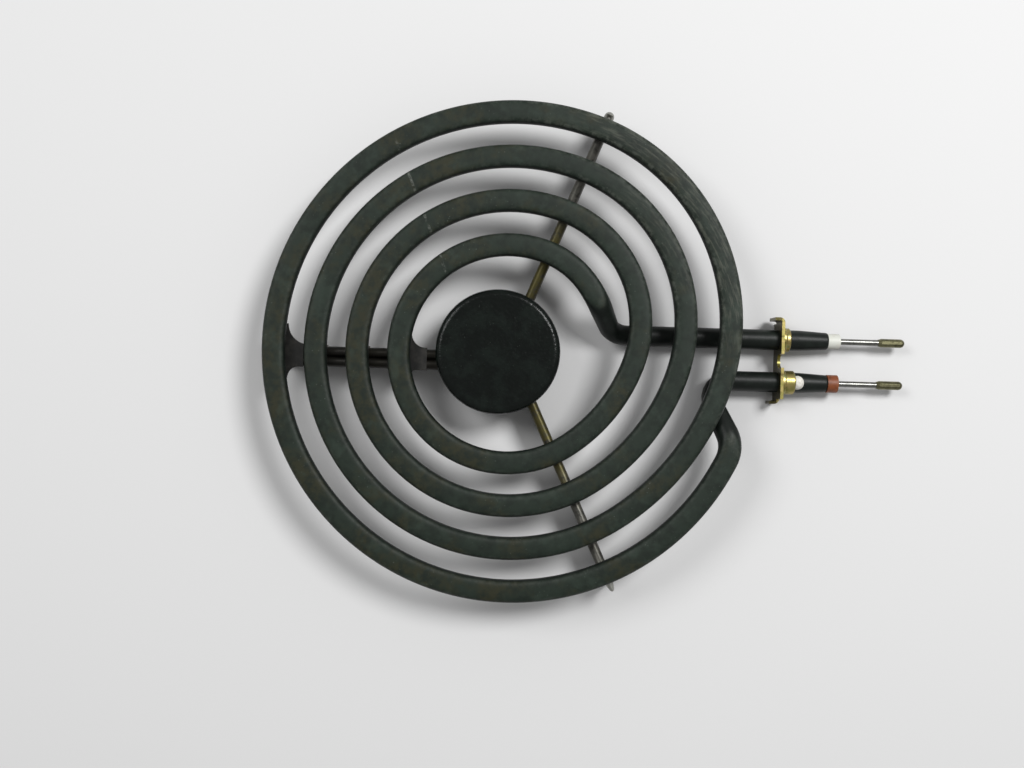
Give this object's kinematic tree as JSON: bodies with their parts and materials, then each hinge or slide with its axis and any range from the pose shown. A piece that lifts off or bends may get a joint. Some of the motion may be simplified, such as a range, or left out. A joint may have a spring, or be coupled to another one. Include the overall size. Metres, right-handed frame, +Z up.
{
  "type": "plug-in hot plate burner element",
  "caption": "Flat spiral tube heater on a folded strip support, with a round centre medallion, a terminal bracket and two plug-in terminal legs.",
  "frame": {"origin": "on the plane the burner stands on, under the middle of the medallion", "axes": "+Z up, out of the cooking face; +X from the medallion along the terminal legs to their tips; +Y completes a right-handed frame"},
  "size_m": [0.2068, 0.1582, 0.019],
  "materials": {
    "oxidised_sheath": "dark green-grey heat oxide on nickel alloy tube, matte",
    "magnesia": "packed magnesium oxide powder",
    "resistance_alloy": "drawn resistance wire",
    "pin_steel": "nickel-plated steel",
    "contact_metal": "dull olive-bronze contact plating",
    "steatite": "white unglazed ceramic",
    "red_silicone": "orange-red silicone",
    "yellow_zinc": "yellow zinc plating",
    "cement": "white sealing cement",
    "black_enamel": "speckled black enamel on steel",
    "plain_steel": "bare steel",
    "tinted_steel": "heat-tinted stainless steel",
    "dark_steel": "heat-blackened steel"
  },
  "bodies": {
    "root": {"element_sheath": "oxidised_sheath", "magnesia_core": "magnesia", "resistance_winding": "resistance_alloy", "terminal_pin_upper": "pin_steel", "terminal_pin_lower": "pin_steel", "contact_tip_upper": "contact_metal", "contact_tip_lower": "contact_metal", "ceramic_bushing": "steatite", "silicone_seal": "red_silicone", "mounting_bracket": "yellow_zinc", "collar_upper": "yellow_zinc", "collar_lower": "yellow_zinc", "cement_dab": "cement", "medallion_cap": "black_enamel", "hub_plate": "plain_steel", "support_strip_upper": "tinted_steel", "support_strip_lower": "tinted_steel", "arm_rivets": "plain_steel", "outer_turn_clip": "dark_steel", "inner_turn_clip": "dark_steel"}
  },
  "joints": []
}
